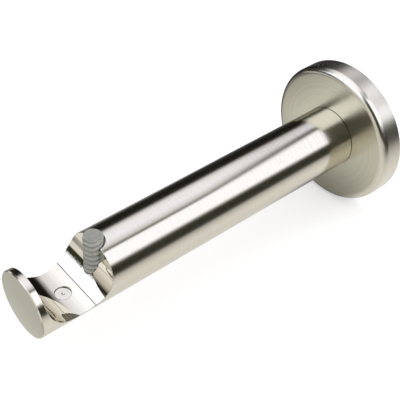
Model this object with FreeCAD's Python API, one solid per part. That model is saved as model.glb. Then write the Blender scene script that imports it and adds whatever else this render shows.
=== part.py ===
import FreeCAD, Part
import os
from math import sqrt, tan, radians

# Curtain pole bracket for a 28 mm pole, in millimetres.
# The origin is the centre of the rose's back, on the wall. The wall is the
# plane y = 0, the arm reaches out along -Y, the pole lies along X, and +Z is up.

V = FreeCAD.Vector
WALL_OUT = V(0, -1, 0)
UP = V(0, 0, 1)
DOWN = V(0, 0, -1)

# Driving sizes of the arm, a solid round bar
ARM_D = 28.0
ARM_REACH = 162.0
ARM_FRONT_CHAMFER = 0.4
ARM_BACK_CHAMFER = 0.25

# The U-shaped slot that the pole drops into
LIP_T = 2.9
SLOT_W = 28.9
SLOT_FLOOR_DROP = 5.85
SLOT_EDGE_CHAMFER = 0.15

# Shallow round recess in the slot's floor, with the drill's centre mark
RECESS_D = 6.5
RECESS_DEPTH = 0.3
MARK_D = 1.4
MARK_DEPTH = 0.35

# Nylon clamp screw, and its tapped hole down through the slot's back wall
CLAMP_D = 8.0
CLAMP_LEN = 20.0
CLAMP_PROUD = 2.5
CLAMP_CHAMFER = 0.5
CLAMP_HOLE_DEPTH = 22.0
COUNTERBORE_D = 9.4
COUNTERBORE_DEPTH = 2.0

# The rose, a turned cup that covers the wall plate
ROSE_D = 65.0
ROSE_DEPTH = 10.5
ROSE_EDGE_R = 3.2
ROSE_SIDE_T = 4.0
ROSE_FACE_T = 4.0

# Countersunk socket screw that holds the arm to the rose from behind
ARM_SCREW_D = 6.0
ARM_SCREW_LEN = 20.0
ARM_SCREW_HEAD_D = 12.0
ARM_SCREW_HEX = 4.0
ARM_SCREW_HEX_DEPTH = 2.2
ARM_HOLE_SPARE = 2.0

# Wall plate inside the rose, with its two wood screw holes. Its edge slants in
# towards the wall, so the grub screw draws the rose back against the wall.
PLATE_T = 5.0
PLATE_GAP = 0.3
PLATE_CENTRE_D = 14.0
PLATE_HOLE_D = 5.2
PLATE_HOLE_SPACING = 38.0
PLATE_SINK_D = 10.0
PLATE_UNDERCUT = 2.4

# Cone-point grub screw in the rose's underside, which bears on that edge
GRUB_D = 4.0
GRUB_LEN = 5.0
GRUB_HEX = 2.0
GRUB_HEX_DEPTH = 2.0
GRUB_TIP_GAP = 0.3

# Clearances, and the angles of drills and countersinks
THREAD_GAP = 0.05
HEAD_GAP = 0.05
DRILL_HALF_ANGLE = 59.0
CUT_PAST = 1.0

# Sizes and places that follow
ARM_R = ARM_D / 2
ROSE_R = ROSE_D / 2
ROSE_BORE_R = ROSE_R - ROSE_SIDE_T
ROSE_FACE_Y = -ROSE_DEPTH
CAVITY_Y = -(ROSE_DEPTH - ROSE_FACE_T)
FRONT_Y = ROSE_FACE_Y - ARM_REACH
SLOT_R = SLOT_W / 2
SLOT_Y = FRONT_Y + LIP_T + SLOT_R
SLOT_BACK_Y = SLOT_Y + SLOT_R
SLOT_FLOOR_Z = -SLOT_FLOOR_DROP
SLOT_AXIS_Z = SLOT_FLOOR_Z + SLOT_R
CLAMP_R = CLAMP_D / 2
CLAMP_TOP_Z = ARM_R + CLAMP_PROUD
PLATE_R = ROSE_BORE_R - PLATE_GAP
GRUB_Y = -PLATE_T / 2
GRUB_TIP_R = PLATE_R - PLATE_UNDERCUT / 2 + GRUB_TIP_GAP


def turned(profile):
    """A solid turned about the arm's axis, from points of radius and y."""
    corners = [V(radius, y, 0) for radius, y in profile]
    outline = Part.makePolygon(corners + corners[:1])
    return Part.Face(outline).revolve(V(0, 0, 0), V(0, 1, 0), 360)


def hex_prism(across_flats, length, start, direction):
    """A socket's six-sided hollow, from start along direction."""
    corner_r = across_flats / sqrt(3)
    side = Part.makeCylinder(corner_r, length)
    for step in range(6):
        slab = Part.makeBox(corner_r, across_flats * 2, length,
                            V(across_flats / 2, -across_flats, 0))
        slab.rotate(V(0, 0, 0), V(0, 0, 1), 60 * step)
        side = side.cut(slab)
    side.Placement = FreeCAD.Placement(start, FreeCAD.Rotation(V(0, 0, 1), direction))
    return side


def drilled(radius, depth, mouth, direction):
    """A blind hole's hollow, with the cone that the drill leaves."""
    hole = Part.makeCylinder(radius, depth, mouth, direction)
    cone_len = radius / tan(radians(DRILL_HALF_ANGLE))
    tip = Part.makeCone(radius, 0, cone_len, mouth + direction * depth, direction)
    return hole.fuse(tip)


def set_screw(radius, length, chamfer, start, direction):
    """A plain headless screw body with both ends chamfered."""
    body = Part.makeCylinder(radius, length, start, direction)
    rims = [edge for edge in body.Edges if edge.Closed]
    return body.makeChamfer(chamfer, rims)


def pole_slot():
    """The U-shaped hollow that the pole drops into, cut right across the arm."""
    half = ARM_R + CUT_PAST
    top_z = ARM_R + CUT_PAST
    low = V(-half, SLOT_Y, SLOT_FLOOR_Z)
    front_low = V(-half, SLOT_Y - SLOT_R, SLOT_AXIS_Z)
    back_low = V(-half, SLOT_Y + SLOT_R, SLOT_AXIS_Z)
    front_top = V(-half, SLOT_Y - SLOT_R, top_z)
    back_top = V(-half, SLOT_Y + SLOT_R, top_z)
    outline = Part.Wire([
        Part.makeLine(front_top, front_low),
        Part.Arc(front_low, low, back_low).toShape(),
        Part.makeLine(back_low, back_top),
        Part.makeLine(back_top, front_top),
    ])
    return Part.Face(outline).extrude(V(2 * half, 0, 0))


def slot_rim_edges(shape):
    """The edges where the slot's walls meet the arm's round outside."""
    rims = []
    for edge in shape.Edges:
        middle = edge.valueAt((edge.FirstParameter + edge.LastParameter) / 2)
        on_bar = abs(sqrt(middle.x ** 2 + middle.z ** 2) - ARM_R) < 0.01
        in_slot = SLOT_Y - SLOT_R - 0.01 < middle.y < SLOT_Y + SLOT_R + 0.01
        if on_bar and in_slot:
            rims.append(edge)
    return rims


def make_arm():
    """The round bar, with the slot, the recess and the two tapped holes."""
    bar = turned([
        (0, FRONT_Y),
        (ARM_R - ARM_FRONT_CHAMFER, FRONT_Y),
        (ARM_R, FRONT_Y + ARM_FRONT_CHAMFER),
        (ARM_R, ROSE_FACE_Y - ARM_BACK_CHAMFER),
        (ARM_R - ARM_BACK_CHAMFER, ROSE_FACE_Y),
        (0, ROSE_FACE_Y),
    ])
    arm = bar.cut(pole_slot())
    arm = arm.makeChamfer(SLOT_EDGE_CHAMFER, slot_rim_edges(arm))

    recess_z = SLOT_FLOOR_Z - RECESS_DEPTH
    recess = Part.makeCylinder(RECESS_D / 2, SLOT_R, V(0, SLOT_Y, recess_z), UP)
    mark = Part.makeCone(0, MARK_D / 2, MARK_DEPTH, V(0, SLOT_Y, recess_z - MARK_DEPTH), UP)

    crown = V(0, SLOT_BACK_Y, ARM_R)
    above = V(0, SLOT_BACK_Y, ARM_R + CUT_PAST)
    clamp_hole = drilled(CLAMP_R + THREAD_GAP, CLAMP_HOLE_DEPTH + CUT_PAST, above, DOWN)
    counterbore = Part.makeCylinder(COUNTERBORE_D / 2, COUNTERBORE_DEPTH + CUT_PAST,
                                    crown + UP * CUT_PAST, DOWN)

    tapped_len = ARM_SCREW_LEN - ROSE_FACE_T + ARM_HOLE_SPARE
    screw_hole = drilled(ARM_SCREW_D / 2 + THREAD_GAP, tapped_len, V(0, ROSE_FACE_Y, 0), WALL_OUT)
    return arm.cut([recess, mark, clamp_hole, counterbore, screw_hole])


def make_clamp_screw():
    """The nylon screw that comes down behind the pole."""
    return set_screw(CLAMP_R, CLAMP_LEN, CLAMP_CHAMFER, V(0, SLOT_BACK_Y, CLAMP_TOP_Z), DOWN)


def head_cone(gap):
    """The countersunk head of the arm's screw, or its seat when gap is its clearance."""
    head_r = ARM_SCREW_HEAD_D / 2 + gap
    stem_r = ARM_SCREW_D / 2 + gap
    return Part.makeCone(head_r, stem_r, head_r - stem_r, V(0, CAVITY_Y, 0), WALL_OUT)


def make_rose():
    """The cup against the wall, with its screw seat and its grub screw's hole."""
    cup = turned([
        (0, ROSE_FACE_Y),
        (ROSE_R, ROSE_FACE_Y),
        (ROSE_R, 0),
        (ROSE_BORE_R, 0),
        (ROSE_BORE_R, CAVITY_Y),
        (0, CAVITY_Y),
    ])
    front_rim = [edge for edge in cup.Edges
                 if edge.Closed and abs(edge.BoundBox.YMin - ROSE_FACE_Y) < 0.01]
    cup = cup.makeFillet(ROSE_EDGE_R, front_rim)

    screw_hole = Part.makeCylinder(ARM_SCREW_D / 2 + THREAD_GAP, ROSE_DEPTH, V(0, 0, 0), WALL_OUT)
    grub_hole = Part.makeCylinder(GRUB_D / 2 + THREAD_GAP, ROSE_R - ROSE_BORE_R / 2,
                                  V(0, GRUB_Y, -ROSE_BORE_R / 2), DOWN)
    return cup.cut([screw_hole, head_cone(HEAD_GAP), grub_hole])


def make_arm_screw():
    """The countersunk screw that draws the arm against the rose."""
    shank = Part.makeCylinder(ARM_SCREW_D / 2, ARM_SCREW_LEN, V(0, CAVITY_Y, 0), WALL_OUT)
    tip = [edge for edge in shank.Edges
           if edge.Closed and edge.BoundBox.YMax < CAVITY_Y - ARM_SCREW_LEN / 2]
    shank = shank.makeChamfer(ARM_SCREW_D / 10, tip)
    socket = hex_prism(ARM_SCREW_HEX, ARM_SCREW_HEX_DEPTH, V(0, CAVITY_Y, 0), WALL_OUT)
    return shank.fuse(head_cone(0)).removeSplitter().cut(socket)


def make_wall_plate():
    """The disc screwed to the wall, which the rose slips over."""
    plate = turned([
        (PLATE_CENTRE_D / 2, 0),
        (PLATE_R - PLATE_UNDERCUT, 0),
        (PLATE_R, -PLATE_T),
        (PLATE_CENTRE_D / 2, -PLATE_T),
    ])
    hole_r = PLATE_HOLE_D / 2
    sink_r = PLATE_SINK_D / 2
    for z in (PLATE_HOLE_SPACING / 2, -PLATE_HOLE_SPACING / 2):
        hole = Part.makeCylinder(hole_r, PLATE_T, V(0, 0, z), WALL_OUT)
        sink = Part.makeCone(hole_r, sink_r, sink_r - hole_r,
                             V(0, sink_r - hole_r - PLATE_T, z), WALL_OUT)
        plate = plate.cut([hole, sink])
    return plate


def make_rose_grub_screw():
    """The cone-point grub screw, up against the wall plate's edge from below."""
    grub_r = GRUB_D / 2
    tip = V(0, GRUB_Y, -GRUB_TIP_R)
    point = Part.makeCone(0, grub_r, grub_r, tip, DOWN)
    barrel = Part.makeCylinder(grub_r, GRUB_LEN - grub_r, tip + DOWN * grub_r, DOWN)
    tail = tip + DOWN * GRUB_LEN
    socket = hex_prism(GRUB_HEX, GRUB_HEX_DEPTH, tail, UP)
    return point.fuse(barrel).removeSplitter().cut(socket)


PIECES = {
    "arm": make_arm,
    "rose": make_rose,
    "clamp_screw": make_clamp_screw,
    "wall_plate": make_wall_plate,
    "arm_fixing_screw": make_arm_screw,
    "rose_grub_screw": make_rose_grub_screw,
}

os.makedirs("parts", exist_ok=True)
for name, make in PIECES.items():
    shape = make()
    shape.exportStep("parts/" + name + ".step")
    print(name, "solids", len(shape.Solids), "valid", shape.isValid(),
          "volume", round(shape.Volume, 1), "type", shape.ShapeType)
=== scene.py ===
# %% [markdown]
# # A curtain pole bracket
#
# The bracket is a round bar with a U-shaped slot for the pole, a grey nylon
# screw that holds the pole in it, and a round rose against the wall. Bar and
# rose are nickel plated and bright enough to mirror the studio, so most of this
# lesson is about what they mirror and how their surface was turned.
#
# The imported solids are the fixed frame. Their shapes are right, so they stay
# and get better finishes. Only the plain screw is replaced, by one with a thread.

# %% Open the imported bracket
import math

import bmesh
import bpy
from mathutils import Matrix, Vector


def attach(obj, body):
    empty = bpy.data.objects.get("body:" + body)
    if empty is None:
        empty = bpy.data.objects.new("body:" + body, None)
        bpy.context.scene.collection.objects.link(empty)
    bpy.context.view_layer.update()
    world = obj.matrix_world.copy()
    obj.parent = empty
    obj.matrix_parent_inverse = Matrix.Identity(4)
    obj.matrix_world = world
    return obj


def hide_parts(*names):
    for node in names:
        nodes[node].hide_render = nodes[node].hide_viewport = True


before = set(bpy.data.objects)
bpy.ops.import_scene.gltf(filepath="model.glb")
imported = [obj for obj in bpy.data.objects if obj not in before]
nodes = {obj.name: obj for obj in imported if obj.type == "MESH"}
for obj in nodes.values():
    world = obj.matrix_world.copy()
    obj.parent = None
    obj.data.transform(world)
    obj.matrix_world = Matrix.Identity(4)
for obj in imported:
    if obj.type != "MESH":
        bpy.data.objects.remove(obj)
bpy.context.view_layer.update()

print("solids:", sorted(nodes))

# %% [markdown]
# ## The sizes this lesson needs
#
# Everything is in metres. The wall is the plane y = 0, the bar reaches out along
# -Y, the pole lies along X and +Z is up. These are the places where a finish
# changes from one cut of the tool to the next.

# %% Sizes of the turned and milled surfaces
MM = 0.001
BAR_R = 14.0 * MM
FRONT_Y = -172.5 * MM
FRONT_BREAK = 0.4 * MM
ROSE_FACE_Y = -10.5 * MM
ROSE_R = 32.5 * MM
ROSE_EDGE_R = 3.2 * MM
SEAM_BREAK = 0.25 * MM
SEAM_GAP = 0.12 * MM
SLOT_Y = -155.15 * MM
SLOT_R = 14.45 * MM
SLOT_AXIS_Z = 8.6 * MM
RECESS_R = 3.25 * MM
RECESS_RIM_IN = 0.10 * MM
RECESS_RIM_OUT = 0.14 * MM
SCREW_Y = -140.7 * MM
SCREW_TOP_Z = 16.5 * MM
SCREW_LEN = 20.0 * MM
MOUTH_R = 4.7 * MM
MOUTH_DEPTH = 2.0 * MM
print("bar radius and slot radius:", BAR_R, SLOT_R)

# %% [markdown]
# ## The camera
#
# A product photograph is taken with a long lens from a little way off, which
# keeps the bar's two edges nearly parallel. The camera stands in front of the
# bracket, to its right and above. Aiming it at a point would be shorter, but the
# picture also leans a few degrees. So three turns aim it: to the left from
# straight at the wall, then down, then a lean about its own line of sight.

# %% Camera
CAMERA_PLACE = Vector((0.18368, -0.26245, 0.24539))
TURN_LEFT = math.radians(46.459)
TURN_DOWN = math.radians(43.606)
LEAN = math.radians(4.508)
LENS = 77.16
FILM_WIDTH = 36.0
NEAREST_SEEN = 0.01


def add_object(name, data):
    """Puts a mesh, a lamp or a camera into the scene."""
    thing = bpy.data.objects.new(name, data)
    bpy.context.scene.collection.objects.link(thing)
    return thing


camera_data = bpy.data.cameras.new("camera")
camera_data.lens = LENS
camera_data.sensor_width = FILM_WIDTH
camera_data.clip_start = NEAREST_SEEN
camera = add_object("camera", camera_data)
aimed = Matrix.Rotation(TURN_LEFT, 4, "Z") @ Matrix.Rotation(math.pi / 2 - TURN_DOWN, 4, "X")
camera.matrix_world = Matrix.Translation(CAMERA_PLACE) @ aimed @ Matrix.Rotation(LEAN, 4, "Z")
bpy.context.scene.camera = camera
bpy.context.scene.view_settings.view_transform = "Standard"
print("camera at", list(CAMERA_PLACE))

# %% [markdown]
# ## Sums with sockets
#
# A finish is a sum: rings from the lathe, plus faint streaks, plus a few pits.
# Wired by hand, each sum hides in a row of boxes. This small class lets the sum
# be written as Python, and adds the box for each sign. Numbers become Math
# nodes, colours go through Mix and vectors through Vector Math.

# %% A wire that adds its own nodes
class Wire:
    """An output socket that can stand in a Python sum."""

    def __init__(self, bench, socket):
        self.bench = bench
        self.socket = socket

    def worked(self, sign, other, swapped=False):
        """The wire that comes out of this one and another, or a number."""
        first, second = (other, self) if swapped else (self, other)
        if self.socket.type == "RGBA":
            return self.bench.node("ShaderNodeMix", {"data_type": "RGBA", "blend_type": sign},
                                   {0: 1.0, 6: first, 7: second}, 2)
        if self.socket.type == "VECTOR":
            return self.bench.node("ShaderNodeVectorMath", {"operation": sign}, {0: first, 1: second})
        return self.bench.node("ShaderNodeMath", {"operation": sign}, {0: first, 1: second})

    def __add__(self, other):
        return self.worked("ADD", other)

    def __radd__(self, other):
        return self.worked("ADD", other, True)

    def __sub__(self, other):
        return self.worked("SUBTRACT", other)

    def __rsub__(self, other):
        return self.worked("SUBTRACT", other, True)

    def __mul__(self, other):
        return self.worked("MULTIPLY", other)

    def __rmul__(self, other):
        return self.worked("MULTIPLY", other, True)

    def __truediv__(self, other):
        return self.worked("DIVIDE", other)

    def __rtruediv__(self, other):
        return self.worked("DIVIDE", other, True)

    def __gt__(self, other):
        return self.worked("GREATER_THAN", other)

    def __lt__(self, other):
        return self.worked("LESS_THAN", other)


print("wires can be added, subtracted, multiplied, divided and compared")

# %% [markdown]
# The bench holds one node tree. Its method `node` adds any other node: first the
# node's settings, such as a ramp's stops, then the values or wires of its
# sockets. A few helpers name the sums that come back often.

# %% The bench on which a finish is put together
class Bench:
    """One node tree, for a finish, the studio's air or a light panel."""

    def __init__(self, tree):
        self.tree = tree
        tree.nodes.clear()

    def node(self, kind, settings=None, sockets=None, out=0):
        """Adds a node and gives the wire from one of its outputs."""
        made = self.tree.nodes.new(kind)
        for name, value in (settings or {}).items():
            if name == "stops":
                self.set_stops(made.color_ramp, value)
            else:
                setattr(made, name, value)
        for name, value in (sockets or {}).items():
            self.plug(made.inputs[name], value)
        return Wire(self, made.outputs[out]) if made.outputs else made

    def plug(self, socket, value):
        """Sets a socket's own value, or runs a wire into it."""
        if isinstance(value, Wire):
            self.tree.links.new(value.socket, socket)
        elif socket.type == "RGBA":
            red, green, blue = (value, value, value) if isinstance(value, (int, float)) else value
            socket.default_value = (red, green, blue, 1.0)
        elif socket.type == "VECTOR" and isinstance(value, (int, float)):
            socket.default_value = (value, value, value)
        else:
            socket.default_value = value

    def set_stops(self, ramp, stops):
        """Places a ramp's stops, each a place from 0 to 1 and a grey or a colour."""
        while len(ramp.elements) > 1:
            ramp.elements.remove(ramp.elements[-1])
        for index, (place, colour) in enumerate(stops):
            stop = ramp.elements[0] if index == 0 else ramp.elements.new(place)
            stop.position = place
            red, green, blue = (colour, colour, colour) if isinstance(colour, (int, float)) else colour
            stop.color = (red, green, blue, 1.0)

    def show(self, shader):
        """Puts a shader on the surface."""
        self.node("ShaderNodeOutputMaterial", {}, {"Surface": shader})

    def math(self, operation, *values):
        """A Math node that has no sign of its own in Python."""
        return self.node("ShaderNodeMath", {"operation": operation}, dict(enumerate(values)))

    def root(self, value):
        """The square root."""
        return self.math("SQRT", value)

    def largest(self, *values):
        """The largest of several values."""
        top = values[0]
        for value in values[1:]:
            top = self.math("MAXIMUM", top, value)
        return top

    def step(self, value, low, high):
        """0 before low, 1 past high, and a smooth rise between them. High may be the lower one."""
        return self.node("ShaderNodeMapRange", {"interpolation_type": "SMOOTHSTEP", "clamp": True},
                         {"Value": value, "From Min": low, "From Max": high, "To Min": 0.0, "To Max": 1.0})

    def band(self, value, start, full_from, full_to, end):
        """1 between the two middle places, falling smoothly to 0 at start and end."""
        return self.step(value, start, full_from) * self.step(value, end, full_to)

    def mix(self, share, first, second):
        """The first colour where share is 0 and the second where it is 1."""
        return self.node("ShaderNodeMix", {"data_type": "RGBA"}, {0: share, 6: first, 7: second}, 2)

    def mix_ways(self, share, first, second):
        """The first direction where share is 0 and the second where it is 1."""
        return self.node("ShaderNodeMix", {"data_type": "VECTOR"}, {0: share, 4: first, 5: second}, 1)

    def point(self):
        """The surface point in the bracket's own frame."""
        return self.node("ShaderNodeTexCoord", {}, {}, "Object")

    def parts(self, point):
        """The x, y and z of a point."""
        return [self.node("ShaderNodeSeparateXYZ", {}, {0: point}, axis) for axis in range(3)]

    def noise(self, point, scale, detail, roughness=0.5):
        """A cloudy pattern through space, from 0 to 1."""
        return self.node("ShaderNodeTexNoise", {}, {"Vector": point, "Scale": scale, "Detail": detail,
                                                    "Roughness": roughness})

    def lines(self, path, detail, roughness=0.5):
        """A pattern that changes only along a path, as a tool leaves it."""
        return self.node("ShaderNodeTexNoise", {"noise_dimensions": "1D"},
                         {"W": path, "Scale": 1.0, "Detail": detail, "Roughness": roughness})


def new_finish(name):
    """An empty material, and the bench for its nodes."""
    finish = bpy.data.materials.new(name)
    finish.use_nodes = True
    return finish, Bench(finish.node_tree)


print("the bench is ready")

# %% [markdown]
# ## The studio's air and table
#
# The photograph is lit from all round on white. A plain white world does that: a
# colour then renders about as it is written. The table is pale, lies just under
# the rose and keeps the bracket's shadow. To reach the white of the photograph
# it glows a little, but only where the camera, a mirror or glass looks at it, so
# it throws no extra light on the bracket.

# %% White air
world = bpy.data.worlds.new("white_air")
bpy.context.scene.world = world
world.use_nodes = True
air = Bench(world.node_tree)
white_air = air.node("ShaderNodeBackground", {}, {"Color": 1.0, "Strength": 1.0})
air.node("ShaderNodeOutputWorld", {}, {"Surface": white_air})
world.cycles.sampling_method = "NONE"
print("world strength 1")

# %% Pale table
TABLE_Z = -32.6 * MM
TABLE_HALF = 3.0
TABLE_COLOUR = 0.72
TABLE_GLOW = 0.38

quarters = ((-1, -1), (1, -1), (1, 1), (-1, 1))
table_mesh = bpy.data.meshes.new("table")
table_mesh.from_pydata([(across * TABLE_HALF, along * TABLE_HALF, TABLE_Z) for across, along in quarters],
                       [], [(0, 1, 2, 3)])
table = add_object("table", table_mesh)

pale, bench = new_finish("pale_table")
rays = [bench.node("ShaderNodeLightPath", {}, {}, name)
        for name in ("Is Camera Ray", "Is Glossy Ray", "Is Transmission Ray")]
glow = bench.node("ShaderNodeEmission", {}, {"Color": 1.0, "Strength": bench.largest(*rays) * TABLE_GLOW})
matt = bench.node("ShaderNodeBsdfDiffuse", {}, {"Color": TABLE_COLOUR})
bench.show(bench.node("ShaderNodeAddShader", {}, {0: matt, 1: glow}))
table_mesh.materials.append(pale)
print("table at z", TABLE_Z)

# %% [markdown]
# The bracket's bright underside fades outwards, as it does over a small white
# table with dark cloth beside it. Painting the table itself would show in the
# picture, so the cloth is a second sheet just above it, which only mirrors see,
# and it also carries painted shadows. It is clear over the middle and turns dark
# outwards, slowly to the right and sooner to the left, where the bar's shadow is
# painted in. In front the table stays white for half a metre, after a painted
# strip of shadow before the bar's end, and close to the wall the rose's shadow is
# painted in too.

# %% Dark cloth and painted shadows round the middle of the table
CLOTH_UP = 0.4 * MM
POOL_REACH = 0.4
# A painted pool of light: it falls off sooner on the left, where the bar's shadow is painted in.
LIGHT_POOL = [(-0.40, 0.02), (-0.20, 0.11), (-0.107, 0.25), (-0.07, 0.39), (-0.045, 0.86),
              (0.05, 0.82), (0.077, 0.72), (0.12, 0.58), (0.29, 0.15), (0.40, 0.05)]
IN_FRONT_Y = (-0.190, -0.240)
FRONT_CLEAR = 0.82
FAR_FRONT_Y = (-0.5, -1.2)
FAR_FRONT_LOSS = 0.62
STRIP_Y = (-0.250, -0.205, -0.186, -0.174)
STRIP_SHADE = 0.42
BY_WALL_Y = (-0.050, -0.008)
BY_WALL_X = (0.024, 0.010)
WALL_SHADE = 0.62


def only_for_mirrors(thing):
    """Hides a piece of the studio from everything but a mirror's rays."""
    thing.visible_camera = False
    thing.visible_diffuse = False
    thing.visible_transmission = False
    thing.visible_shadow = False


sheet_mesh = table_mesh.copy()
sheet_mesh.name = "mirror_sheet_with_painted_shadow"
sheet_mesh.materials.clear()
for corner in sheet_mesh.vertices:
    corner.co.z += CLOTH_UP
sheet = add_object("mirror_sheet_with_painted_shadow", sheet_mesh)
only_for_mirrors(sheet)
print("cloth above the table by", CLOTH_UP)

# %% Where the cloth is clear, and the shadows painted on it
dark, bench = new_finish("painted_shadow_and_dark_cloth")
x, y, z = bench.parts(bench.point())
pool = [((place + POOL_REACH) / (2 * POOL_REACH), share) for place, share in LIGHT_POOL]
sideways = bench.node("ShaderNodeValToRGB", {"stops": pool}, {"Fac": (x + POOL_REACH) / (2 * POOL_REACH)})
beside = bench.node("ShaderNodeRGBToBW", {}, {0: sideways})
before = FRONT_CLEAR - bench.step(y, *FAR_FRONT_Y) * FAR_FRONT_LOSS
clear = beside + (before - beside) * bench.step(y, *IN_FRONT_Y)
# Painted shadows: the bar end's shadow in a strip in front, and the rose's shadow close to the wall.
wall_shadow_mask = bench.step(y, *BY_WALL_Y) * bench.step(x, *BY_WALL_X)
clear = clear * (1.0 - bench.band(y, *STRIP_Y) * STRIP_SHADE) * (1.0 - wall_shadow_mask * WALL_SHADE)
black = bench.node("ShaderNodeEmission", {}, {"Color": 0.0, "Strength": 0.0})
nothing = bench.node("ShaderNodeBsdfTransparent")
bench.show(bench.node("ShaderNodeMixShader", {}, {0: clear, 1: black, 2: nothing}))
sheet_mesh.materials.append(dark)
print("clear over the middle, dark from", POOL_REACH, "metres out")

# %% [markdown]
# ## Light panels and black cloths
#
# A polished bar shows its studio as long stripes. A wide light panel hangs over
# the bar and a second one to its right, with a narrow gap between them, and
# black cloth falls on both sides down to the table. Separate panels would each
# need a place and a tilt. One long half-round tent along the bar, with a ramp
# across it, does the same with angles alone. They are counted from straight up,
# towards the right. Only mirrors see the tent.

# %% The tent's stripes, as angles and brightness
TENT_FROM = -92.0
TENT_TO = 92.0
BRIGHTEST = 2.0
WHITE = (1.52, 1.56, 1.82)
FRONT_WHITE = (1.75, 1.88, 2.25)
CLOTH = (0.016, 0.015, 0.012)
FRONT_CLOTH = (0.05, 0.05, 0.03)
STRIPES = [
    (-92, (0.10, 0.10, 0.10)),
    (-88, CLOTH),
    (-64, CLOTH),
    (-56, (0.05, 0.045, 0.04)),
    (-44, (1.03, 1.03, 1.15)),
    (-34, (1.24, 1.27, 1.48)),
    (-12, (1.30, 1.33, 1.58)),
    (0, (1.12, 1.12, 1.30)),
    (8, (0.80, 0.82, 0.88)),
    (12, (0.20, 0.20, 0.19)),
    (16, (0.20, 0.20, 0.19)),
    (20, WHITE),
    (57, WHITE),
    (64, (0.45, 0.46, 0.44)),
    (68, (0.05, 0.05, 0.04)),
    (88, (0.035, 0.036, 0.025)),
    (92, (0.10, 0.10, 0.08)),
]


def as_share(colour):
    """A panel's colour as a share of the brightest. The strength of its glow gives the rest."""
    return tuple(part / BRIGHTEST for part in colour)


print(len(STRIPES), "stops across the tent")

# %% The tent's shape
TENT_R = 1.2
TENT_HALF_LEN = 2.6
TENT_STEPS = 92

tent_points = []
for end_y in (-TENT_HALF_LEN, TENT_HALF_LEN):
    for index in range(TENT_STEPS + 1):
        turned = math.radians(TENT_FROM + (TENT_TO - TENT_FROM) * index / TENT_STEPS)
        tent_points.append((TENT_R * math.sin(turned), end_y, TENT_R * math.cos(turned)))
far = TENT_STEPS + 1
tent_mesh = bpy.data.meshes.new("light_tent")
tent_mesh.from_pydata(tent_points, [], [(i, i + 1, far + i + 1, far + i) for i in range(TENT_STEPS)])
tent = add_object("light_tent", tent_mesh)
only_for_mirrors(tent)
print("tent radius", TENT_R)

# %% [markdown]
# The slot's floor looks at the tent's front. There the left panel goes on after
# a thin gap and hangs lower, down to a black cloth with a ragged hem, and the
# right panel ends. Over the wall the gap between the two panels slants and
# widens, and the left panel is dimmer. A ramp alone is the same all along the
# bar, so masks along it change what the ramp gives.

# %% The tent's front, its gaps and its hem
FRONT_PANEL_Y = -0.63
THIN_GAP = 0.06
THIN_GAP_SOFT = 0.01
THIN_GAP_SHADE = 0.9
RIGHT_END_Y = -0.50
LEFT_PANEL_ENDS = (12.0, 8.0)
HEM_ANGLE = -65.0
HEM_SOFT = 1.0
HEM_THREADS = 45.0
RAGGED = 55.0
GAP_ANGLE = 14.0
SLANT_FROM_Y = 0.60
SLANT_DEGREES = 68.0
SLANT_REACH = (-40.0, -10.0, 20.0, 56.0)
WIDE_GAP_Y = (0.60, 0.80)
WIDE_GAP_REACH = (14.0, 3.0)
WIDE_GAP_SHADE = 0.6
NEARER_Y = (0.4, -0.4)
NEARER_GAIN = 0.3
BEHIND_WALL_Y = (0.62, 0.85)
BEHIND_WALL_LOSS = 0.25

cloth, bench = new_finish("tent_cloth")
point = bench.point()
x, y, z = bench.parts(point)
angle = bench.math("ARCTAN2", x, z) * (180.0 / math.pi)
slant = bench.math("MAXIMUM", y - SLANT_FROM_Y, 0.0) * SLANT_DEGREES
across = (angle + slant * bench.band(angle, *SLANT_REACH) - TENT_FROM) / (TENT_TO - TENT_FROM)
stops = [((place - TENT_FROM) / (TENT_TO - TENT_FROM), as_share(colour)) for place, colour in STRIPES]
ramp = bench.node("ShaderNodeValToRGB", {"stops": stops}, {"Fac": across})
print("ramp across the tent, with a slant of", SLANT_DEGREES, "degrees a metre over the wall")

# %% What the masks change
from_gap = bench.math("ABSOLUTE", angle + slant - GAP_ANGLE)
wide_gap = bench.step(from_gap, *WIDE_GAP_REACH) * bench.step(y, *WIDE_GAP_Y) * WIDE_GAP_SHADE
behind_wall = bench.step(y, *BEHIND_WALL_Y) * (angle < 0.0) * BEHIND_WALL_LOSS
level = (1.0 + bench.step(y, *NEARER_Y) * NEARER_GAIN - behind_wall) * (1.0 - wide_gap)

on_left = bench.step(angle, *LEFT_PANEL_ENDS)
ragged = bench.noise(point, HEM_THREADS, 4.0, 0.7)
hem = angle + (ragged - 0.5) * RAGGED
above_hem = bench.step(hem, HEM_ANGLE - HEM_SOFT, HEM_ANGLE + HEM_SOFT) * on_left
front = bench.mix(above_hem, as_share(FRONT_CLOTH), as_share(FRONT_WHITE))
is_front = bench.largest((y < FRONT_PANEL_Y + THIN_GAP / 2) * on_left, (y < RIGHT_END_Y) * (1.0 - on_left))
gap_end_y = FRONT_PANEL_Y + THIN_GAP
thin_gap = bench.band(y, FRONT_PANEL_Y, FRONT_PANEL_Y + THIN_GAP_SOFT, gap_end_y - THIN_GAP_SOFT, gap_end_y)
hung = bench.mix(is_front, ramp * level, front) * (1.0 - thin_gap * on_left * THIN_GAP_SHADE)
bench.show(bench.node("ShaderNodeEmission", {}, {"Color": hung, "Strength": BRIGHTEST}))
cloth.cycles.emission_sampling = "NONE"
tent_mesh.materials.append(cloth)
print("front panel from y", FRONT_PANEL_Y, "down to a hem at", HEM_ANGLE, "degrees")

# %% [markdown]
# The world alone would leave the nylon and the table flat. Two soft lamps stand
# where the tent's two panels hang and give the shadow its direction. Mirrors
# don't see them, because they already see the panels.

# %% Two soft lamps
LAMPS = [("lamp_over", (-0.25, 0.1, 1.0), 0.7, 1.2), ("lamp_right", (0.8, -0.1, 0.8), 0.6, 2.4)]
BAR_MIDDLE = Vector((0, -0.09, 0))

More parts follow.
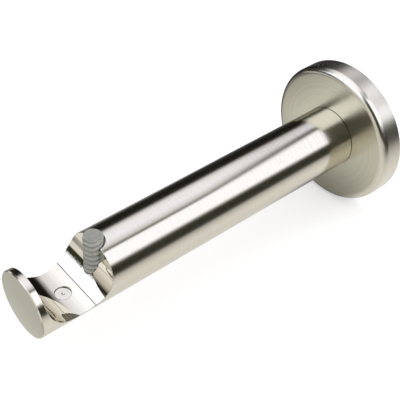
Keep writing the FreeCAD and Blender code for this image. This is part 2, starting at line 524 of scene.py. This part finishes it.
for name, place, width, watts in LAMPS:
    light = bpy.data.lights.new(name, "AREA")
    light.size = width
    light.energy = watts
    lamp = add_object(name, light)
    lamp.location = place
    lamp.rotation_euler = (BAR_MIDDLE - Vector(place)).to_track_quat("-Z", "Y").to_euler()
    lamp.visible_glossy = False
print(len(LAMPS), "lamps")

# %% [markdown]
# ## Satin nickel
#
# Bar and rose are turned steel with a nickel plating. Nickel is a warm, slightly
# yellow mirror. The lathe leaves fine rings round the bar and on the rose's
# face, and they smear a reflection along the bar but hardly across it. They are
# a bump: a noise that only changes along the tool's path, kept very shallow.
#
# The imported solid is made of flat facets. A mirror shows each of them, so the
# finish works out the true direction of the round surfaces, which is simple:
# straight out from the bar's axis, in towards the slot's axis, or out of the
# rose's rounded edge. The same sums tell one cut of the tool from the next.

# %% Directions and cuts of the turned surfaces
SKIN = 0.03 * MM
NEAR = 0.01 * MM
MOUTH_PAST = 0.1 * MM


def world_way(bench, way):
    """A direction in the piece's own frame, as the shader wants it."""
    return bench.node("ShaderNodeVectorTransform",
                      {"vector_type": "NORMAL", "convert_from": "OBJECT", "convert_to": "WORLD"}, {0: way})


def vector(bench, x, y, z):
    """A direction from its three parts."""
    return bench.node("ShaderNodeCombineXYZ", {}, {"X": x, "Y": y, "Z": z})


def between(value, low, high):
    """1 where a value lies between two numbers, else 0."""
    return (value > low) * (value < high)


def near(value, place, reach):
    """1 where a value lies within reach of a place, else 0."""
    return between(value, place - reach, place + reach)


def find_surfaces(bench, x, y, z):
    """The distance from the bar's axis, three exact directions, and a mask for each cut."""
    radius = bench.root(x * x + z * z)
    out_y, out_z = y - SLOT_Y, z - SLOT_AXIS_Z
    slot_radius = bench.root(out_y * out_y + out_z * out_z)
    inside_bar = radius < BAR_R - SKIN
    edge_ring_r = ROSE_R - ROSE_EDGE_R
    edge_ring_y = ROSE_FACE_Y + ROSE_EDGE_R
    edge_out = (radius - edge_ring_r) / ROSE_EDGE_R
    from_recess = bench.root(x * x + out_y * out_y)
    from_hole = bench.root(x * x + (y - SCREW_Y) * (y - SCREW_Y))
    bar_from_y, bar_to_y = FRONT_Y + FRONT_BREAK + NEAR, ROSE_FACE_Y - SEAM_BREAK - NEAR
    ways = {
        "bar": vector(bench, x / radius, 0.0, z / radius),
        "floor": vector(bench, 0.0, 0.0 - out_y / SLOT_R, 0.0 - out_z / SLOT_R),
        "edge": vector(bench, x / radius * edge_out, (y - edge_ring_y) / ROSE_EDGE_R, z / radius * edge_out),
    }
    where = {
        "bar": near(radius, BAR_R, SKIN) * between(y, bar_from_y, bar_to_y),
        "floor": near(slot_radius, SLOT_R, SKIN) * (z < SLOT_AXIS_Z) * inside_bar,
        "wall": near(bench.math("ABSOLUTE", out_y), SLOT_R, SKIN) * (z > SLOT_AXIS_Z) * inside_bar,
        "end": y < FRONT_Y + NEAR,
        "face": (radius > BAR_R + NEAR) * near(y, ROSE_FACE_Y, 2 * NEAR),
        "edge": (radius > edge_ring_r) * between(y, ROSE_FACE_Y, edge_ring_y),
        "side": (radius > ROSE_R - SKIN) * (y > edge_ring_y),
        "seam": between(radius, BAR_R - SEAM_BREAK, BAR_R + SEAM_GAP) * (y > ROSE_FACE_Y - SEAM_BREAK),
        "recess rim": between(from_recess, RECESS_R - RECESS_RIM_IN, RECESS_R + RECESS_RIM_OUT) * (z < 0.0),
        "mouth": (from_hole < MOUTH_R + 2 * NEAR)
                 * between(z, BAR_R - MOUTH_DEPTH - MOUTH_PAST, BAR_R + MOUTH_PAST),
    }
    return radius, ways, where


def true_direction(bench, ways, where):
    """The exact normal on the three round surfaces, else the mesh's own."""
    way = bench.node("ShaderNodeNewGeometry", {}, {}, "Normal")
    for name, exact in ways.items():
        way = bench.mix_ways(where[name], way, world_way(bench, exact))
    return way


print("directions ready")

# %% [markdown]
# The bar is finely turned and then polished, so it mirrors clearly across and a
# little smeared along, and the polishing left low waves. The rose's face was
# brushed while it turned and is satin. The slot was milled last and polished by
# hand, so its floor mirrors almost like glass, with soft waves in it. Real depth
# in the mesh would need millions of faces, so rings and waves are a bump.

# %% Depth of rings and waves
RING_DEPTH = 0.0012 * MM
RING_SCALE = 5200.0
MORE_RINGS_Y = (-0.055, -0.015)
MORE_RINGS = 1.2
BAR_WAVE_DEPTH = 0.012 * MM
BAR_WAVE_SCALE = 55.0
FLOOR_WAVE_DEPTH = 0.020 * MM
FLOOR_WAVE_SCALE = 170.0


def nickel_height(bench, point, y, radius, where, flat):
    """Rings, and waves that are much deeper, all counted in depths of a ring."""
    along = bench.lines(y * RING_SCALE, 3.0, 0.6)
    outwards = bench.lines(radius * RING_SCALE, 3.0, 0.6)
    rings = along + (outwards - along) * flat
    rings = rings * (1.0 + bench.step(y, *MORE_RINGS_Y) * MORE_RINGS)
    bar_waves = bench.noise(point, BAR_WAVE_SCALE, 1.0) * where["bar"]
    floor_waves = bench.noise(point, FLOOR_WAVE_SCALE, 1.0) * where["floor"]
    rings = rings + bar_waves * (BAR_WAVE_DEPTH / RING_DEPTH)
    return rings * (1.0 - where["floor"]) + floor_waves * (FLOOR_WAVE_DEPTH / RING_DEPTH)


print("rings", RING_DEPTH, "deep, waves up to", FLOOR_WAVE_DEPTH)

# %% [markdown]
# The plate has faint streaks along the tool's path and a few fine pits. Shade is
# painted into the corners: the seam between bar and rose, the rim of the recess
# in the slot's floor, and the wide mouth of the screw's hole.

# %% Colour of the plate
NICKEL = (0.66, 0.62, 0.52)
FACE_NICKEL = (0.63, 0.60, 0.48)
PIT_COLOUR = (0.40, 0.38, 0.30)
PIT_SHARE = 0.35
PIT_SCALE = 1400.0
PIT_SIZE = (0.64, 0.72)
STREAK_SHARE = 0.22
STREAK_SCALE = 1100.0
STREAK_Y = (-0.08, -0.02)
STREAK_IN_FRONT = 0.35
CORNER_SHADE_COLOUR = (0.10, 0.095, 0.07)
CORNER_SHADE_SHARES = {"seam": 0.85, "recess rim": 0.75, "mouth": 0.80}


def nickel_colour(bench, point, y, radius, where, flat):
    """Warm nickel, a little darker and yellower on the faces, with streaks, pits and painted shade in the
    corners.
    """
    pits = bench.step(bench.noise(point, PIT_SCALE, 2.0), *PIT_SIZE) * PIT_SHARE
    colour = bench.mix(pits, bench.mix(flat, NICKEL, FACE_NICKEL), PIT_COLOUR)
    path = y + (radius - y) * flat
    by_rose = STREAK_IN_FRONT + bench.step(y, *STREAK_Y) * (1.0 - STREAK_IN_FRONT)
    colour = colour * (1.0 + (bench.lines(path * STREAK_SCALE, 2.0) - 0.5) * STREAK_SHARE * by_rose)
    # Painted shade darkens the seam, the recess rim and the mouth of the screw's hole.
    corner_shade = bench.largest(*[where[name] * share for name, share in CORNER_SHADE_SHARES.items()])
    return bench.mix(corner_shade, colour, CORNER_SHADE_COLOUR)


print("old polish in:", ", ".join(CORNER_SHADE_SHARES))

# %% Satin nickel finish
CLOUD_SCALE = 60.0
BAR_ROUGH = 0.12
CLOUD_ROUGH = 0.05
SATIN_ROUGH = 0.15
SATIN_SHARE = {"face": 0.75, "end": 0.75, "edge": 0.5, "side": 0.8}
SLOT_SMOOTH = 0.11


def make_nickel():
    """Nickel plate on turned steel, with its lathe rings."""
    nickel, bench = new_finish("satin_nickel_plate")
    point = bench.point()
    x, y, z = bench.parts(point)
    radius, ways, where = find_surfaces(bench, x, y, z)
    flat = bench.largest(where["face"], where["end"])
    height = nickel_height(bench, point, y, radius, where, flat)
    bump = bench.node("ShaderNodeBump", {}, {"Strength": 1.0, "Distance": RING_DEPTH, "Height": height,
                                             "Normal": true_direction(bench, ways, where)})
    satin = bench.largest(*[where[name] * share for name, share in SATIN_SHARE.items()])
    polished = bench.largest(where["floor"], where["wall"])
    cloud = bench.noise(point, CLOUD_SCALE, 2.0)
    roughness = BAR_ROUGH + cloud * CLOUD_ROUGH + satin * SATIN_ROUGH - polished * SLOT_SMOOTH
    colour = nickel_colour(bench, point, y, radius, where, flat)
    bench.show(bench.node("ShaderNodeBsdfPrincipled", {}, {
        "Base Color": colour, "Metallic": 1.0, "Roughness": roughness, "Normal": bump}))
    return nickel


def dress(names, finish):
    """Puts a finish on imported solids, which otherwise stay as they are."""
    for name in names:
        for place in nodes[name].material_slots:
            place.material = finish
    print(finish.name, "on", ", ".join(names))


dress(["arm", "rose"], make_nickel())

# %% [markdown]
# ## Zinc-plated steel
#
# The wall plate and the two hidden screws are steel with a bright zinc plate, a
# bluish grey with small crystals that turn its gloss a little from place to
# place. A cell noise gives the crystals, because each cell has one plain shade.

# %% Zinc finish
ZINC_DARK = (0.56, 0.58, 0.60)
ZINC_PALE = (0.66, 0.67, 0.68)
CRYSTAL_SCALE = 700.0
GRAIN_SCALE = 2500.0
GRAIN_DEPTH = 0.004 * MM
ZINC_ROUGH = 0.26
CRYSTAL_ROUGH = 0.12


def make_zinc():
    """Bright zinc plate with faint crystals."""
    zinc, bench = new_finish("zinc_plate")
    point = bench.point()
    cells = bench.node("ShaderNodeTexVoronoi", {"feature": "F1"},
                       {"Vector": point, "Scale": CRYSTAL_SCALE}, "Color")
    crystal = bench.node("ShaderNodeRGBToBW", {}, {0: cells})
    grain = bench.noise(point, GRAIN_SCALE, 4.0)
    bump = bench.node("ShaderNodeBump", {}, {"Strength": 0.6, "Distance": GRAIN_DEPTH,
                                             "Height": grain + crystal * 0.3})
    bench.show(bench.node("ShaderNodeBsdfPrincipled", {}, {
        "Base Color": bench.mix(crystal * 0.5, ZINC_DARK, ZINC_PALE), "Metallic": 1.0,
        "Roughness": ZINC_ROUGH + crystal * CRYSTAL_ROUGH, "Normal": bump}))
    return zinc


dress(["wall_plate", "arm_fixing_screw", "rose_grub_screw"], make_zinc())

# %% [markdown]
# ## The nylon screw
#
# The screw is natural nylon with a coarse thread, about 2.5 mm a turn. It could
# be a modifier that winds a profile, but its ends are chamfered, so it is easier
# to set a fine net of points round the axis and ask at each point how far out
# the thread stands there, never further than the chamfer's cone allows.

# %% Thread of the nylon screw
PITCH = 2.5 * MM
CREST_R = 3.97 * MM
ROOT_R = 3.35 * MM
CHAMFER = 0.5 * MM
FLANK_TOP = 0.3
FLANK_FOOT = 0.8
ROUND = 96
PER_PITCH = 24


def thread_stand(turns):
    """How far out the thread stands, from 0 in the root to 1 on the crest."""
    share = turns - math.floor(turns)
    from_crest = abs(share - 0.5) * 2
    return min(max((FLANK_FOOT - from_crest) / (FLANK_FOOT - FLANK_TOP), 0.0), 1.0)


def thread_ring(mesh, depth):
    """One ring of points round the screw, at a depth below its top."""
    cone_r = CREST_R - CHAMFER + min(depth, SCREW_LEN - depth)
    ring = []
    for column in range(ROUND):
        turned = 2 * math.pi * column / ROUND
        radius = ROOT_R + (CREST_R - ROOT_R) * thread_stand(depth / PITCH + column / ROUND)
        radius = min(radius, cone_r)
        ring.append(mesh.verts.new((radius * math.cos(turned), SCREW_Y + radius * math.sin(turned),
                                    SCREW_TOP_Z - depth)))
    return ring


def make_thread_screw():
    """The nylon screw as one closed net of points."""
    rows = int(SCREW_LEN / PITCH * PER_PITCH)
    mesh = bmesh.new()
    net = [thread_ring(mesh, SCREW_LEN * row / rows) for row in range(rows + 1)]
    for upper, lower in zip(net, net[1:]):
        for column in range(ROUND):
            after = (column + 1) % ROUND
            mesh.faces.new((upper[column], lower[column], lower[after], upper[after]))
    mesh.faces.new(net[0])
    mesh.faces.new(list(reversed(net[-1])))
    data = bpy.data.meshes.new("nylon_screw")
    mesh.to_mesh(data)
    mesh.free()
    return data


screw_data = make_thread_screw()
screw = add_object("nylon_screw", screw_data)
for face in screw_data.polygons:
    face.use_smooth = len(face.vertices) == 4
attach(screw, "clamp")
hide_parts("clamp_screw")
print("screw faces:", len(screw_data.polygons))

# %% [markdown]
# Natural nylon is milky and a little see-through: light goes in and wanders
# before it comes out. Glass would be too clear and plain paint too hard, so it
# is a half share of subsurface light. Light is also painted into the colour: the
# thin crests are painted paler than the shaded roots, as if lit through, and the
# lower end is painted paler for the light of the bright slot it stands in.

# %% Nylon finish
# Root and crest colours are painted shade and painted light. The pale end is painted light from the slot.
SHADED_ROOT_NYLON = (0.255, 0.255, 0.23)
LIT_CREST_NYLON = (0.35, 0.345, 0.315)
SLOT_LIT_END = (0.46, 0.42, 0.37)
SLOT_LIT_END_Z = (4.0 * MM, -3.0 * MM)
SLOT_LIT_END_SHARE = 0.6
NYLON_CLOUD_SCALE = 500.0
NYLON_CLOUD_DEPTH = 0.004 * MM
NYLON_ROUGH = 0.22
NYLON_CLOUD_ROUGH = 0.1
LIGHT_DEPTH = 1.5 * MM


def make_nylon():
    """Natural nylon, milky and slightly see-through, with painted light on the thin crests and the lower end.
    """
    nylon, bench = new_finish("natural_nylon")
    point = bench.point()
    x, y, z = bench.parts(point)
    cloud = bench.noise(point, NYLON_CLOUD_SCALE, 3.0)
    from_axis = bench.root(x * x + (y - SCREW_Y) * (y - SCREW_Y))
    # Painted light: the thin crests are paler than the shaded roots, as if lit through.
    lit_crest = bench.step(from_axis, ROOT_R, CREST_R)
    colour = bench.mix(lit_crest, SHADED_ROOT_NYLON, LIT_CREST_NYLON) * (0.85 + cloud * 0.3)
    # Painted light from the bright slot on the screw's lower end.
    colour = bench.mix(bench.step(z, *SLOT_LIT_END_Z) * SLOT_LIT_END_SHARE, colour, SLOT_LIT_END)
    bump = bench.node("ShaderNodeBump", {}, {"Strength": 0.2, "Distance": NYLON_CLOUD_DEPTH, "Height": cloud})
    bench.show(bench.node("ShaderNodeBsdfPrincipled", {}, {
        "Base Color": colour, "Roughness": NYLON_ROUGH + cloud * NYLON_CLOUD_ROUGH, "Normal": bump,
        "Subsurface Weight": 0.5, "Subsurface Radius": (1.0, 0.95, 0.85), "Subsurface Scale": LIGHT_DEPTH}))
    return nylon


screw_data.materials.append(make_nylon())
print("nylon on the screw")
